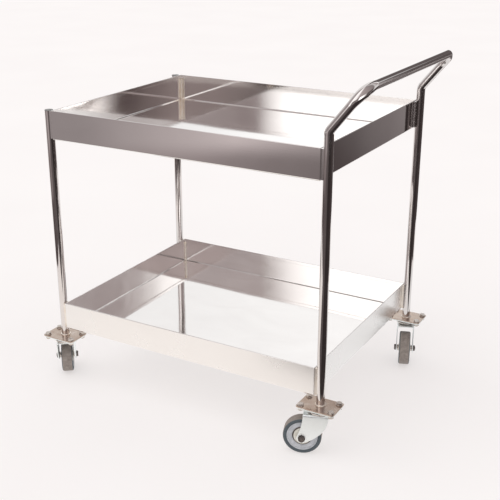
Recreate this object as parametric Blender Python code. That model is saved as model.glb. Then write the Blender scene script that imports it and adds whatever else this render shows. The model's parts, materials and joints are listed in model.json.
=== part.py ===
"""Instrument cart: two deep stainless trays on four tube legs, with a push handle and four swivel casters.

Metres, +Z up. The origin is on the floor under the middle of the trays. The long sides run along X, and
the push handle is at the +X end.
"""

import math

import bmesh
import bpy
from mathutils import Matrix, Vector

# Trays
TRAY_LENGTH = 0.760
TRAY_WIDTH = 0.600
TRAY_WALL_HEIGHT = 0.076
TOP_RIM_Z = 0.765
LOWER_RIM_Z = 0.230
SHEET = 0.0012
HEM_THICKNESS = 0.0026
HEM_HEIGHT = 0.010

# Legs and handle, round tube
TUBE_RADIUS = 0.0111
TUBE_WALL = 0.0012
LEG_WALL_GAP = 0.0024
LEG_PROUD_OF_FRONT = 0.0011
HANDLE_KINK_Z = 0.801
HANDLE_BAR_Z = 0.900
HANDLE_BAR_REACH = 0.079
HANDLE_BEND_RADIUS = 0.050
CAP_THICKNESS = 0.0020
CAP_PLUG_LENGTH = 0.012

# Casters
WHEEL_RADIUS = 0.0475
TYRE_WIDTH = 0.031
TYRE_INNER_RADIUS = 0.0383
CASTER_TRAIL = 0.040
CASTER_OUTSET = 0.003
FOOT_PLATE_TOP_Z = 0.131
PLATE_LENGTH = 0.100
PLATE_WIDTH = 0.068
PLATE_THICKNESS = 0.003
PLATE_CORNER_RADIUS = 0.006
BOLT_SPACING_X = 0.080
BOLT_SPACING_Y = 0.048
BOLT_RADIUS = 0.004
BOLT_HEX_RADIUS = 0.0075
BOLT_HEAD_HEIGHT = 0.0053
BOLT_NUT_HEIGHT = 0.0062
BOLT_TAIL = 0.0015
RACE_RADIUS = 0.027
RACE_DEPTH = 0.005
CROWN_RADIUS = 0.028
CROWN_HEIGHT = 0.0062
KINGPIN_RADIUS = 0.006
KINGPIN_HEAD_RADIUS = 0.010
KINGPIN_HEAD_HEIGHT = 0.003
FORK_BRIDGE_THICKNESS = 0.003
FORK_SIDE_THICKNESS = 0.0025
FORK_HALF_WIDTH = 0.0245
FORK_EYE_RADIUS = 0.0150
AXLE_RADIUS = 0.005
AXLE_HEX_RADIUS = 0.0092
AXLE_HEAD_HEIGHT = 0.0050
AXLE_NUT_HEIGHT = 0.0055

GAP = 0.0003  # air between neighbouring pieces
RUNNING_GAP = 0.00008  # radial clearance between the axle and the hub bore

TUBE_SIDES = 20
RACE_SIDES = 20
HANDLE_SIDES = 16
BEND_STEPS = 6
TYRE_SIDES = 28
CORE_SIDES = 20
PIN_SIDES = 12
HOLE_SIDES = 8

LEG_X = TRAY_LENGTH / 2 + LEG_WALL_GAP + TUBE_RADIUS
LEG_Y = TRAY_WIDTH / 2 + LEG_PROUD_OF_FRONT - TUBE_RADIUS
CASTER_PLATE_TOP_Z = FOOT_PLATE_TOP_Z - PLATE_THICKNESS - GAP
RACE_BOTTOM_Z = CASTER_PLATE_TOP_Z - PLATE_THICKNESS - RACE_DEPTH
BRIDGE_TOP_Z = RACE_BOTTOM_Z - GAP - CROWN_HEIGHT
BRIDGE_BOTTOM_Z = BRIDGE_TOP_Z - FORK_BRIDGE_THICKNESS

# Each corner: leg signs along X and Y, and the way its wheel trails, in degrees about +Z.
CORNERS = {
    "front_left": (-1, -1, 128.0),
    "front_right": (1, -1, 200.0),
    "back_left": (-1, 1, 150.0),
    "back_right": (1, 1, -70.0),
}

# colour, roughness, metallic
FINISHES = {
    "satin_steel": ((0.62, 0.60, 0.58), 0.32, 1.0),
    "polished_steel": ((0.70, 0.68, 0.66), 0.12, 1.0),
    "plain_steel": ((0.55, 0.50, 0.46), 0.38, 1.0),
    "zinc_plate": ((0.74, 0.76, 0.77), 0.35, 1.0),
    "dark_zinc": ((0.32, 0.28, 0.26), 0.40, 1.0),
    "rubber": ((0.10, 0.12, 0.13), 0.75, 0.0),
    "wheel_plastic": ((0.62, 0.65, 0.68), 0.45, 0.0),
    "cap_plastic": ((0.30, 0.30, 0.30), 0.50, 0.0),
}


def clear_scene():
    for obj in list(bpy.data.objects):
        bpy.data.objects.remove(obj, do_unlink=True)


def finish_material(node, finish):
    """A material of the piece's own, in one of the finishes above."""
    colour, roughness, metallic = FINISHES[finish]
    material = bpy.data.materials.new(f"{node}_{finish}")
    material.use_nodes = True
    shader = material.node_tree.nodes["Principled BSDF"]
    shader.inputs["Base Color"].default_value = (*colour, 1.0)
    shader.inputs["Roughness"].default_value = roughness
    shader.inputs["Metallic"].default_value = metallic
    return material


def add_piece(node, mesh, finish, parent=None, location=(0, 0, 0)):
    """Put one named piece into the scene. Repeated pieces share their mesh, not their material."""
    obj = bpy.data.objects.new(node, mesh)
    bpy.context.collection.objects.link(obj)
    if not mesh.materials:
        mesh.materials.append(None)
    obj.material_slots[0].link = "OBJECT"
    obj.material_slots[0].material = finish_material(node, finish)
    obj.parent = parent
    obj.location = location
    return obj


def add_axis(name, location, yaw=0.0, parent=None):
    """An empty on a joint's axis."""
    empty = bpy.data.objects.new(name, None)
    bpy.context.collection.objects.link(empty)
    empty.empty_display_size = 0.03
    empty.parent = parent
    empty.location = location
    empty.rotation_euler = (0, 0, yaw)
    return empty


def mesh_from(bm, name, smooth=True):
    bmesh.ops.recalc_face_normals(bm, faces=bm.faces)
    mesh = bpy.data.meshes.new(name)
    bm.to_mesh(mesh)
    bm.free()
    if smooth:
        mesh.shade_smooth()
        mesh.set_sharp_from_angle(angle=math.radians(35))
    return mesh


def ring_of(bm, radius, z, sides, phase=0.0):
    step = math.tau / sides
    return [
        bm.verts.new((radius * math.cos(phase + i * step), radius * math.sin(phase + i * step), z))
        for i in range(sides)
    ]


def bridge(bm, first, second):
    """Quads between two rings of the same length, or triangles when one ring is a single point."""
    count = max(len(first), len(second))
    for i in range(count):
        j = (i + 1) % count
        corners = [first[i % len(first)], first[j % len(first)], second[j % len(second)], second[i % len(second)]]
        bm.faces.new(list(dict.fromkeys(corners)))


def turned(name, profile, sides, phase=0.0, closed=False):
    """A solid turned about Z from (radius, height) points.

    An open profile starts and ends on the axis. A closed one is a loop clear of the axis, so it makes a ring.
    """
    bm = bmesh.new()
    rings = [
        [bm.verts.new((0, 0, z))] if radius == 0 else ring_of(bm, radius, z, sides, phase)
        for radius, z in profile
    ]
    pairs = zip(rings, rings[1:] + rings[:1]) if closed else zip(rings, rings[1:])
    for first, second in pairs:
        bridge(bm, first, second)
    return mesh_from(bm, name)


def lay_along_y(mesh):
    """Turn a mesh made about Z so that its axis is Y."""
    mesh.transform(Matrix.Rotation(math.radians(-90), 4, "X"))
    return mesh


def circle_points(centre, radius, sides):
    step = math.tau / sides
    return [
        (centre[0] + radius * math.cos(i * step), centre[1] + radius * math.sin(i * step))
        for i in range(sides)
    ]


def rounded_rectangle(length, width, radius, steps=2):
    points = []
    for quarter, (sx, sy) in enumerate([(1, 1), (-1, 1), (-1, -1), (1, -1)]):
        centre = (sx * (length / 2 - radius), sy * (width / 2 - radius))
        for i in range(steps + 1):
            angle = math.radians(90) * (quarter + i / steps)
            points.append((centre[0] + radius * math.cos(angle), centre[1] + radius * math.sin(angle)))
    return points


def flat_plate(outline, holes, bottom, top):
    """A plate from an outline and the outlines of its holes, in X and Y, as an open bmesh."""
    bm = bmesh.new()
    edges = []
    for loop in [outline, *holes]:
        verts = [bm.verts.new((x, y, bottom)) for x, y in loop]
        edges += [bm.edges.new((verts[i - 1], verts[i])) for i in range(len(verts))]
    bmesh.ops.triangle_fill(bm, use_beauty=True, use_dissolve=False, edges=edges)
    lifted = bmesh.ops.extrude_face_region(bm, geom=bm.faces[:])
    moved = [item for item in lifted["geom"] if isinstance(item, bmesh.types.BMVert)]
    bmesh.ops.translate(bm, verts=moved, vec=(0, 0, top - bottom))
    return bm


def boolean_mesh(name, base, steps):
    """Join to or cut from one mesh with others, and return the result as a plain mesh."""
    body = bpy.data.objects.new(name, base)
    bpy.context.collection.objects.link(body)
    tools = []
    for operation, mesh in steps:
        tool = bpy.data.objects.new(f"{name}_tool", mesh)
        bpy.context.collection.objects.link(tool)
        tool.hide_render = True
        tool.display_type = "WIRE"
        modifier = body.modifiers.new(operation.lower(), "BOOLEAN")
        modifier.operation = operation
        modifier.solver = "EXACT"
        modifier.object = tool
        tools.append(tool)
    bpy.context.view_layer.update()
    evaluated = body.evaluated_get(bpy.context.evaluated_depsgraph_get())
    mesh = bpy.data.meshes.new_from_object(evaluated)
    mesh.name = name
    mesh.shade_smooth()
    mesh.set_sharp_from_angle(angle=math.radians(35))
    for obj in [body, *tools]:
        bpy.data.objects.remove(obj, do_unlink=True)
    return mesh


def tray_mesh(name, rim_z):
    """An open folded tray: flat floor, four upright walls, and a hem folded in along the rim."""
    floor_z = rim_z - TRAY_WALL_HEIGHT
    inset_height = [
        (0, floor_z),
        (0, rim_z),
        (HEM_THICKNESS, rim_z),
        (HEM_THICKNESS, rim_z - HEM_HEIGHT),
        (SHEET, rim_z - HEM_HEIGHT),
        (SHEET, floor_z + SHEET),
    ]
    bm = bmesh.new()
    loops = []
    for inset, z in inset_height:
        x = TRAY_LENGTH / 2 - inset
        y = TRAY_WIDTH / 2 - inset
        loops.append([bm.verts.new(p) for p in [(-x, -y, z), (x, -y, z), (x, y, z), (-x, y, z)]])
    for first, second in zip(loops, loops[1:]):
        bridge(bm, first, second)
    bm.faces.new(loops[0])
    bm.faces.new(loops[-1])
    return mesh_from(bm, name, smooth=False)


def handle_arm_direction():
    return Vector((HANDLE_BAR_REACH, 0, HANDLE_BAR_Z - HANDLE_KINK_Z)).normalized()


def mitre_slope():
    """How far the mitre between a right leg and the handle falls for each metre towards +X."""
    arm = handle_arm_direction()
    return arm.x / (1 + arm.z)


def leg_mesh(name, top_z, slope):
    """An upright open tube on the foot plate, its top end level or cut at a mitre."""
    bm = bmesh.new()
    rings = []
    for radius, top in [(TUBE_RADIUS, False), (TUBE_RADIUS, True), (TUBE_RADIUS - TUBE_WALL, True),
                        (TUBE_RADIUS - TUBE_WALL, False)]:
        ring = ring_of(bm, radius, FOOT_PLATE_TOP_Z + GAP, TUBE_SIDES)
        if top:
            for vert in ring:
                vert.co.z = top_z - slope * vert.co.x
        rings.append(ring)
    for first, second in zip(rings, rings[1:] + rings[:1]):
        bridge(bm, first, second)
    return mesh_from(bm, name)


def handle_path():
    """Centre line of the push handle from the front mitre to the back one, as (point, direction)."""
    arm = handle_arm_direction()
    across = Vector((0, 1, 0))
    kink = Vector((LEG_X, -LEG_Y, HANDLE_KINK_Z))
    corner = Vector((LEG_X + HANDLE_BAR_REACH, -LEG_Y, HANDLE_BAR_Z))
    centre = corner - arm * HANDLE_BEND_RADIUS + across * HANDLE_BEND_RADIUS
    half = [(kink, arm)]
    for i in range(BEND_STEPS + 1):
        angle = math.radians(90) * i / BEND_STEPS
        point = centre + (arm * math.sin(angle) - across * math.cos(angle)) * HANDLE_BEND_RADIUS
        half.append((point, arm * math.cos(angle) + across * math.sin(angle)))
    mirrored = []
    for point, direction in reversed(half):
        mirrored.append((Vector((point.x, -point.y, point.z)), Vector((-direction.x, direction.y, -direction.z))))
    return half + mirrored


def handle_mesh(name):
    """The U-shaped push handle, an open tube whose two ends meet the right legs at a mitre."""
    arm = handle_arm_direction()
    mitre_normal = (arm + Vector((0, 0, 1))).normalized()
    out_of_plane = arm.cross(Vector((0, 1, 0)))
    path = handle_path()
    bm = bmesh.new()
    skins = []
    for radius in (TUBE_RADIUS, TUBE_RADIUS - TUBE_WALL):
        rings = []
        for index, (point, direction) in enumerate(path):
            sideways = out_of_plane.cross(direction)
            ring = []
            for i in range(HANDLE_SIDES):
                angle = math.tau * i / HANDLE_SIDES
                place = point + (out_of_plane * math.cos(angle) + sideways * math.sin(angle)) * radius
                if index in (0, len(path) - 1):
                    depth = (place - point).dot(mitre_normal) - GAP
                    place -= arm * depth / arm.dot(mitre_normal)
                ring.append(bm.verts.new(place))
            rings.append(ring)
        for first, second in zip(rings, rings[1:]):
            bridge(bm, first, second)
        skins.append(rings)
    for end in (0, -1):
        bridge(bm, skins[0][end], skins[1][end])
    return mesh_from(bm, name)


def leg_cap_mesh():
    """A low domed plug for an open leg top."""
    plug_radius = TUBE_RADIUS - TUBE_WALL - GAP
    dome = CAP_THICKNESS * 0.4
    profile = [
        (0, -CAP_PLUG_LENGTH),
        (plug_radius, -CAP_PLUG_LENGTH),
        (plug_radius, GAP),
        (TUBE_RADIUS, GAP),
        (TUBE_RADIUS, CAP_THICKNESS - dome),
        (TUBE_RADIUS * 0.8, CAP_THICKNESS - dome * 0.3),
        (0, CAP_THICKNESS),
    ]
    return turned("leg_cap", profile, TUBE_SIDES)


def bolt_places():
    return [
        (sx * BOLT_SPACING_X / 2, sy * BOLT_SPACING_Y / 2)
        for sx, sy in [(-1, -1), (1, -1), (1, 1), (-1, 1)]
    ]


def foot_plate_mesh():
    """The plate welded under a leg, with four bolt holes."""
    outline = rounded_rectangle(PLATE_LENGTH, PLATE_WIDTH, PLATE_CORNER_RADIUS)
    holes = [circle_points(place, BOLT_RADIUS + GAP, HOLE_SIDES) for place in bolt_places()]
    top = FOOT_PLATE_TOP_Z
    return mesh_from(flat_plate(outline, holes, top - PLATE_THICKNESS, top), "foot_plate")


def caster_plate_mesh():
    """The caster's top plate with the upper bearing race standing down from it."""
    outline = rounded_rectangle(PLATE_LENGTH, PLATE_WIDTH, PLATE_CORNER_RADIUS)
    holes = [circle_points(place, BOLT_RADIUS + GAP, HOLE_SIDES) for place in bolt_places()]
    holes.append(circle_points((0, 0), KINGPIN_RADIUS + GAP, PIN_SIDES))
    bottom = CASTER_PLATE_TOP_Z - PLATE_THICKNESS
    plate = mesh_from(flat_plate(outline, holes, bottom, CASTER_PLATE_TOP_Z), "caster_plate_flat")
    race_profile = [
        (KINGPIN_RADIUS + GAP, RACE_BOTTOM_Z),
        (RACE_RADIUS - 0.003, RACE_BOTTOM_Z),
        (RACE_RADIUS, RACE_BOTTOM_Z + RACE_DEPTH * 0.6),
        (RACE_RADIUS, bottom + 0.001),
        (KINGPIN_RADIUS + GAP, bottom + 0.001),
    ]
    race = turned("caster_race", race_profile, RACE_SIDES, closed=True)
    bore = turned("caster_bore", cylinder_profile(KINGPIN_RADIUS + GAP, RACE_BOTTOM_Z - 0.01, 0.14), PIN_SIDES)
    return boolean_mesh("caster_plate", plate, [("UNION", race), ("DIFFERENCE", bore)])


def cylinder_profile(radius, bottom, top):
    return [(0, bottom), (radius, bottom), (radius, top), (0, top)]


def bolt_mesh():
    """A hexagon bolt down through both plates, with its nut run on, as one piece."""
    head_bottom = FOOT_PLATE_TOP_Z + GAP
    nut_top = CASTER_PLATE_TOP_Z - PLATE_THICKNESS - GAP
    nut_bottom = nut_top - BOLT_NUT_HEIGHT
    shank = turned("bolt", cylinder_profile(BOLT_RADIUS, nut_bottom - BOLT_TAIL, head_bottom + 0.001), HOLE_SIDES)
    head = turned("bolt_head", cylinder_profile(BOLT_HEX_RADIUS, head_bottom, head_bottom + BOLT_HEAD_HEIGHT), 6)
    nut = turned("bolt_nut", cylinder_profile(BOLT_HEX_RADIUS, nut_bottom, nut_top), 6)
    return boolean_mesh("plate_bolt", shank, [("UNION", head), ("UNION", nut)])


def kingpin_mesh():
    """The riveted pin that the fork turns on: a head under the fork and a shank up through the plate."""
    head_top = BRIDGE_BOTTOM_Z - GAP
    profile = [
        (0, head_top - KINGPIN_HEAD_HEIGHT),
        (KINGPIN_HEAD_RADIUS * 0.6, head_top - KINGPIN_HEAD_HEIGHT),
        (KINGPIN_HEAD_RADIUS, head_top - KINGPIN_HEAD_HEIGHT * 0.4),
        (KINGPIN_HEAD_RADIUS, head_top),
        (KINGPIN_RADIUS, head_top),
        (KINGPIN_RADIUS, CASTER_PLATE_TOP_Z - GAP),
        (0, CASTER_PLATE_TOP_Z - GAP),
    ]
    return turned("kingpin", profile, PIN_SIDES)


def fork_side_outline():
    """Outline of a fork cheek in X (the way the wheel trails) and Z."""
    eye = (CASTER_TRAIL, WHEEL_RADIUS)
    lead = [(-0.024, BRIDGE_TOP_Z), (-0.0235, 0.100), (-0.019, 0.079), (-0.012, 0.062), (0.0, 0.050),
            (0.015, 0.0395)]
    arc = []
    for i in range(7):
        angle = math.radians(-115 + 130 * i / 6)
        arc.append((eye[0] + FORK_EYE_RADIUS * math.cos(angle), eye[1] + FORK_EYE_RADIUS * math.sin(angle)))
    trail = [(0.046, 0.072), (0.0405, 0.090), (0.038, BRIDGE_TOP_Z)]
    return lead + arc + trail


def fork_mesh():
    """The pressed fork: a bridge with the lower race on top, and two cheeks down to the axle."""
    cheeks = flat_plate(fork_side_outline(), [], -FORK_HALF_WIDTH, FORK_HALF_WIDTH)
    body = mesh_from(cheeks, "fork_block")
    body.transform(Matrix.Rotation(math.radians(90), 4, "X"))
    inner = FORK_HALF_WIDTH - FORK_SIDE_THICKNESS
    slot = bmesh.new()
    bmesh.ops.create_cube(slot, size=1.0)
    bmesh.ops.scale(slot, vec=(0.3, 2 * inner, BRIDGE_BOTTOM_Z), verts=slot.verts)
    bmesh.ops.translate(slot, vec=(0, 0, BRIDGE_BOTTOM_Z / 2), verts=slot.verts)
    crown_profile = [
        (0, BRIDGE_TOP_Z - 0.001),
        (CROWN_RADIUS, BRIDGE_TOP_Z - 0.001),
        (CROWN_RADIUS, BRIDGE_TOP_Z + CROWN_HEIGHT * 0.6),
        (CROWN_RADIUS - 0.002, BRIDGE_TOP_Z + CROWN_HEIGHT),
        (0, BRIDGE_TOP_Z + CROWN_HEIGHT),
    ]
    crown = turned("fork_crown", crown_profile, RACE_SIDES)
    pin_hole = turned("fork_pin_hole", cylinder_profile(KINGPIN_RADIUS + GAP, 0.09, 0.13), PIN_SIDES)
    axle_hole = lay_along_y(turned("fork_axle_hole", cylinder_profile(AXLE_RADIUS + GAP, -0.04, 0.04), PIN_SIDES))
    axle_hole.transform(Matrix.Translation((CASTER_TRAIL, 0, WHEEL_RADIUS)))
    return boolean_mesh("fork", body, [
        ("DIFFERENCE", mesh_from(slot, "fork_slot", smooth=False)),
        ("UNION", crown),
        ("DIFFERENCE", pin_hole),
        ("DIFFERENCE", axle_hole),
    ])


def mirrored_profile(half):
    """Close a profile that runs outwards along one face of a wheel with its mirror image."""
    return half + [(radius, -across) for radius, across in reversed(half)]


def wheel_core_mesh():
    """The wheel's moulded centre: hub sleeve, hub cap, a groove, the web and the rim."""
    half = [
        (AXLE_RADIUS + RUNNING_GAP, 0.0217),
        (0.0085, 0.0217),
        (0.0085, 0.0168),
        (0.0235, 0.0145),
        (0.0235, 0.0095),
        (0.0265, 0.0095),
        (0.0280, 0.0120),
        (0.0350, 0.0115),
        (0.0362, 0.0140),
        (TYRE_INNER_RADIUS - GAP, 0.0140),
    ]
    return lay_along_y(turned("wheel_core", mirrored_profile(half), CORE_SIDES, closed=True))


def tyre_mesh():
    """The solid tyre. One flat of its outline is at the bottom, so the cart stands level on it."""
    outside = 1 / math.cos(math.pi / TYRE_SIDES)
    half_width = TYRE_WIDTH / 2
    half = [
        (TYRE_INNER_RADIUS * outside, half_width - 0.0010),
        (0.0430 * outside, half_width),
        (0.0462 * outside, half_width - 0.0009),
        (WHEEL_RADIUS * outside, half_width - 0.0035),
    ]
    mesh = turned("tyre", mirrored_profile(half), TYRE_SIDES, phase=math.pi / TYRE_SIDES, closed=True)
    return lay_along_y(mesh)


def axle_bolt_mesh():
    """The hexagon bolt through the fork and the hub, with its head at the -Y side."""
    start = -FORK_HALF_WIDTH - GAP
    end = FORK_HALF_WIDTH + GAP + AXLE_NUT_HEIGHT + 0.001
    shank = turned("axle_bolt", cylinder_profile(AXLE_RADIUS, start - 0.001, end), PIN_SIDES)
    head = turned("axle_head", cylinder_profile(AXLE_HEX_RADIUS, start - AXLE_HEAD_HEIGHT, start), 6)
    return lay_along_y(boolean_mesh("axle_bolt", shank, [("UNION", head)]))


def axle_nut_mesh():
    """The nut on the end of the axle bolt."""
    start = FORK_HALF_WIDTH + GAP
    bore = AXLE_RADIUS + GAP
    bm = flat_plate(circle_points((0, 0), AXLE_HEX_RADIUS, 6), [circle_points((0, 0), bore, PIN_SIDES)],
                    start, start + AXLE_NUT_HEIGHT)
    return lay_along_y(mesh_from(bm, "axle_nut"))


def build_frame():
    """Trays, legs, leg caps and the push handle."""
    add_piece("top_tray", tray_mesh("top_tray", TOP_RIM_Z), "satin_steel")
    add_piece("bottom_tray", tray_mesh("bottom_tray", LOWER_RIM_Z), "satin_steel")
    left_top = TOP_RIM_Z - CAP_THICKNESS
    left_leg = leg_mesh("left_leg", left_top, 0.0)
    right_leg = leg_mesh("right_leg", HANDLE_KINK_Z, mitre_slope())
    cap = leg_cap_mesh()
    for corner, (sx, sy, _) in CORNERS.items():
        leg = left_leg if sx < 0 else right_leg
        add_piece(f"leg_{corner}", leg, "polished_steel", location=(sx * LEG_X, sy * LEG_Y, 0))
        if sx < 0:
            add_piece(f"leg_cap_{corner}", cap, "cap_plastic", location=(sx * LEG_X, sy * LEG_Y, left_top))
    add_piece("push_handle", handle_mesh("push_handle"), "polished_steel")


def build_casters():
    """Four plate casters, each under its own foot plate, with the wheel trailing its own way."""
    foot_plate = foot_plate_mesh()
    caster_plate = caster_plate_mesh()
    bolt = bolt_mesh()
    kingpin = kingpin_mesh()
    fork = fork_mesh()
    core = wheel_core_mesh()
    tyre = tyre_mesh()
    axle_bolt = axle_bolt_mesh()
    axle_nut = axle_nut_mesh()
    for corner, (sx, sy, trail_way) in CORNERS.items():
        x = sx * LEG_X
        y = sy * (LEG_Y + CASTER_OUTSET)
        add_piece(f"foot_plate_{corner}", foot_plate, "plain_steel", location=(x, y, 0))
        add_piece(f"caster_plate_{corner}", caster_plate, "plain_steel", location=(x, y, 0))
        add_piece(f"kingpin_{corner}", kingpin, "dark_zinc", location=(x, y, 0))
        for number, (bx, by) in enumerate(bolt_places(), start=1):
            add_piece(f"plate_bolt_{corner}_{number}", bolt, "zinc_plate", location=(x + bx, y + by, 0))
        swivel = add_axis(f"swivel_axis_{corner}", (x, y, 0), math.radians(trail_way))
        add_piece(f"fork_{corner}", fork, "zinc_plate", parent=swivel)
        hub = add_axis(f"wheel_axis_{corner}", (CASTER_TRAIL, 0, WHEEL_RADIUS), parent=swivel)
        add_piece(f"axle_bolt_{corner}", axle_bolt, "dark_zinc", parent=hub)
        add_piece(f"axle_nut_{corner}", axle_nut, "dark_zinc", parent=hub)
        add_piece(f"wheel_core_{corner}", core, "wheel_plastic", parent=hub)
        add_piece(f"tyre_{corner}", tyre, "rubber", parent=hub)


clear_scene()
build_frame()
build_casters()
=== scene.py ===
"""Looks of the instrument cart: folded trays, polished tubes, welds and plate casters round the CAD frame.

Metres, +Z up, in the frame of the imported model. Sizes come from the model's boxes and joints; what the model
doesn't hold, such as edge radii, weld beads and surface finish, is named below.
"""

import json
import math

import bmesh
import bpy
import numpy as np
from mathutils import Matrix, Vector


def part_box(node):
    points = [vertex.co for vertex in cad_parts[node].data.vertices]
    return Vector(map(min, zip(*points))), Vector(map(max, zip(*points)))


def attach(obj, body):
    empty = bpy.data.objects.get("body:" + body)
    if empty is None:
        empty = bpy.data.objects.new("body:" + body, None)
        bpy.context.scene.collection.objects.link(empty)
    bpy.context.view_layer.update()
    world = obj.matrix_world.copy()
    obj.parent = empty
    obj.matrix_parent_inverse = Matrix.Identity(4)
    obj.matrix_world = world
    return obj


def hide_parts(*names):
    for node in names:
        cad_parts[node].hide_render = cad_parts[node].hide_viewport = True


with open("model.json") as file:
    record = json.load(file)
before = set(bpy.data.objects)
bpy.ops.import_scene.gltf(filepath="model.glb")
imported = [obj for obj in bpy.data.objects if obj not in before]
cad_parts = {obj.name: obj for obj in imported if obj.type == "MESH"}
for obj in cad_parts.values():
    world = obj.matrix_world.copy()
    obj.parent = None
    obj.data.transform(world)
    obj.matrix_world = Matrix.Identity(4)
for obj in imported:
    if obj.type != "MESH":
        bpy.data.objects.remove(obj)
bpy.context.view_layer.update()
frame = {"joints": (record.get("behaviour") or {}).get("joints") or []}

# Sheet metal
SHEET = 0.0012
HEM_THICKNESS = 0.0026
HEM_HEIGHT = 0.010
FOLD_RADIUS = 0.0030  # inside the bend between a tray's floor and its walls
TRAY_CORNER_RADIUS = 0.0016
CORNER_WELD = 0.0036
LEG_WELD_FINISH = {"top_tray": "satin_steel", "bottom_tray": "weld_steel"}
WELD_PROUD = 0.00025
WELD_BAND = {"top_tray": 0.0125, "bottom_tray": 0.0060}

# Tube
TUBE_WALL = 0.0012
ELBOW_RADIUS = 0.020
HANDLE_BEND_RADIUS = 0.050
HANDLE_BEND_STEPS = 20
BEND_WIDENING = 0.20  # share of the radius, across the plane of the bend
BEND_THINNING = 0.06  # share of the radius, in that plane
SEAM = 0.0003
TUBE_SIDES = 64

# Plates, bolts and casters
PLATE_THICKNESS = 0.003
PLATE_EDGE = 0.0005
BOLT_RADIUS = 0.004
BOLT_FLATS = 0.013
WASHER_RADIUS = 0.0086
WASHER_THICKNESS = 0.0013
RACE_RADIUS = 0.027
CROWN_RADIUS = 0.028
FORK_SHEET = 0.0025
FORK_SHOULDER = 0.0055
FORK_EYE_RADIUS = 0.0125
AXLE_RADIUS = 0.005
AXLE_FLATS = 0.0155
TURNED_SIDES = 96

# Stage
ROOM_RADIUS = 6.0
ROOM_HEIGHT = 0.7  # of the reflected dome's middle
ROOM_CUT = -0.12  # the dome's lower edge, as a share of its radius
WALL_FADE = (0.235, 0.285)  # heights between low and high walls, as shares of the radius
FLOOR_FADE = (0.455, 0.535)  # reaches between near and far floor, as shares of the radius
FLAG_HEIGHT = 0.0010
NEAR_FLAG_HEIGHT = 0.0008
FLOOR_SIZE = 40
FLOOR_GLOW = 1.25
SKY_COLOUR = (1.0, 0.98, 0.972, 1.0)
SKY_STRENGTH = 0.92
SUN_STRENGTH = 0.55
SUN_ANGLE = 60
CAMERA_PLACE = (1.2036, -2.0712, 1.2652)
CAMERA_LENS = 66.5
CAMERA_DOWN = 20.723
CAMERA_ROLL = -0.08
CAMERA_HEADING = 29.477

CORNERS = {
    "front_left": (-1, -1),
    "front_right": (1, -1),
    "back_left": (-1, 1),
    "back_right": (1, 1),
}
TRAYS = ("top_tray", "bottom_tray")
JOINT_PLACE = {joint["name"]: Vector(joint["pos_m"]) for joint in frame["joints"]}


# ---------------------------------------------------------------- materials


class Finish:
    """A Principled material, with short calls for the nodes that shape it."""

    def __init__(self, name, metallic=0.0):
        self.material = bpy.data.materials.new(name)
        self.material.use_nodes = True
        self.tree = self.material.node_tree
        self.shader = self.tree.nodes["Principled BSDF"]
        self.shader.inputs["Metallic"].default_value = metallic
        self.place = self.node("ShaderNodeTexCoord").outputs["Object"]

    def node(self, kind, **settings):
        made = self.tree.nodes.new(kind)
        for key, value in settings.items():
            setattr(made, key, value)
        return made

    def feed(self, socket, value):
        if isinstance(value, bpy.types.NodeSocket):
            self.tree.links.new(value, socket)
        else:
            socket.default_value = value

    def set(self, name, value):
        self.feed(self.shader.inputs[name], value)

    def stretched(self, scale):
        mapping = self.node("ShaderNodeMapping")
        self.feed(mapping.inputs["Vector"], self.place)
        self.feed(mapping.inputs["Scale"], scale)
        return mapping.outputs["Vector"]

    def noise(self, scale, detail=3.0, stretch=(1, 1, 1), distortion=0.0):
        made = self.node("ShaderNodeTexNoise")
        self.feed(made.inputs["Vector"], self.stretched(stretch))
        self.feed(made.inputs["Scale"], scale)
        self.feed(made.inputs["Detail"], detail)
        self.feed(made.inputs["Distortion"], distortion)
        return made.outputs["Fac"]

    def between(self, factor, low, high, start=0.0, end=1.0):
        made = self.node("ShaderNodeMapRange", interpolation_type="SMOOTHSTEP")
        self.feed(made.inputs["Value"], factor)
        self.feed(made.inputs["From Min"], start)
        self.feed(made.inputs["From Max"], end)
        self.feed(made.inputs["To Min"], low)
        self.feed(made.inputs["To Max"], high)
        return made.outputs["Result"]

    def ramp(self, factor, stops):
        made = self.node("ShaderNodeValToRGB")
        elements = made.color_ramp.elements
        for index, (position, colour) in enumerate(stops):
            element = elements[index] if index < 2 else elements.new(position)
            element.position = position
            element.color = (*colour, 1.0)
        self.feed(made.inputs["Fac"], factor)
        return made.outputs["Color"]

    def mixed(self, factor, first, second):
        made = self.node("ShaderNodeMix", data_type="RGBA")
        for socket, value in ((made.inputs[0], factor), (made.inputs[6], first), (made.inputs[7], second)):
            value = (*value, 1.0) if isinstance(value, tuple) else value
            self.feed(socket, value)
        return made.outputs[2]

    def axis(self, index):
        split = self.node("ShaderNodeSeparateXYZ")
        self.feed(split.inputs[0], self.place)
        return split.outputs[index]

    def bump(self, height, distance, strength=1.0):
        made = self.node("ShaderNodeBump")
        self.feed(made.inputs["Height"], height)
        self.feed(made.inputs["Distance"], distance)
        self.feed(made.inputs["Strength"], strength)
        if self.shader.inputs["Normal"].is_linked:
            self.feed(made.inputs["Normal"], self.shader.inputs["Normal"].links[0].from_socket)
        self.set("Normal", made.outputs["Normal"])


def sheet_steel(name, smooth, worn):
    """Cold-rolled stainless sheet: faint rolling grain along X, slow waves, wiped smudges."""
    finish = Finish(name, metallic=1.0)
    smudge = finish.noise(9.0, detail=6.0, stretch=(0.8, 1.3, 1.0), distortion=0.6)
    grain = finish.noise(900.0, detail=2.0, stretch=(0.02, 1.0, 1.0))
    wave = finish.noise(2.6, detail=1.0)
    finish.set("Base Color", finish.ramp(smudge, [(0.25, (0.86, 0.832, 0.818)), (0.75, (0.91, 0.885, 0.87))]))
    finish.set("Roughness", finish.between(smudge, smooth, worn, 0.3, 0.75))
    finish.bump(wave, 0.0045, 0.5)
    finish.bump(grain, 0.00002, 0.35)
    return finish.material


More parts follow.
